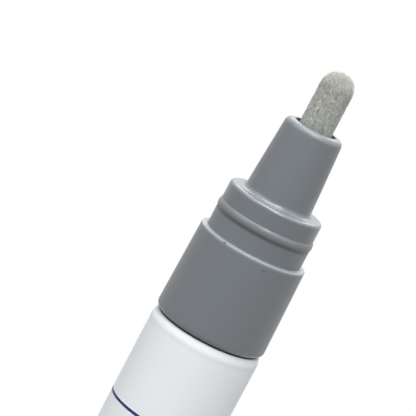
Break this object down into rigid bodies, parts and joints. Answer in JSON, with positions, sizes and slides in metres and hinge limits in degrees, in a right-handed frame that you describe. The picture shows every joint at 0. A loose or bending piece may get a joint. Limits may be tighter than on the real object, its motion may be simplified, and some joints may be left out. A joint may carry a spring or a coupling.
{
  "type": "paint marker",
  "caption": "Uncapped pump-action paint marker: enamelled metal can, moulded front section with cap seat, sprung bullet nib and valve, loose mixing ball.",
  "frame": {"origin": "middle of the barrel's base, on the surface it stands on", "axes": "+Z along the marker's axis, from the base to the nib"},
  "size_m": [0.015, 0.015, 0.1347],
  "materials": {
    "white_enamelled_aluminium": "gloss",
    "grey_polypropylene": "satin",
    "pressed_fibre": "matte",
    "natural_polypropylene": "satin",
    "white_acetal": "satin",
    "black_nitrile": "matte",
    "stainless_wire": "polished",
    "bearing_steel": "polished"
  },
  "bodies": {
    "holder": {"barrel": "white_enamelled_aluminium", "front_section": "grey_polypropylene", "neck_gasket": "black_nitrile", "valve_housing": "natural_polypropylene", "spring_retainer": "natural_polypropylene", "valve_spring": "stainless_wire"},
    "nib": {"nib": "pressed_fibre"},
    "valve_stem": {"valve_stem": "white_acetal", "stem_seal": "black_nitrile"},
    "mixing_ball": {"mixing_ball": "bearing_steel"}
  },
  "joints": [
    {"name": "nib_press", "type": "slide", "parent": "holder", "child": "nib", "axis": [0, 0, -1], "range_m": [0, 0.0018], "stiffness_N_per_m": 500, "deforming": ["valve_spring"]},
    {"name": "valve_open", "type": "slide", "parent": "holder", "child": "valve_stem", "axis": [0, 0, -1], "range_m": [0, 0.0018]},
    {"name": "ball_shake", "type": "slide", "parent": "holder", "child": "mixing_ball", "axis": [0, 0, 1], "range_m": [0, 0.0863]}
  ],
  "couplings": [
    {"joint": "valve_open", "follows": "nib_press", "ratio": 1}
  ]
}
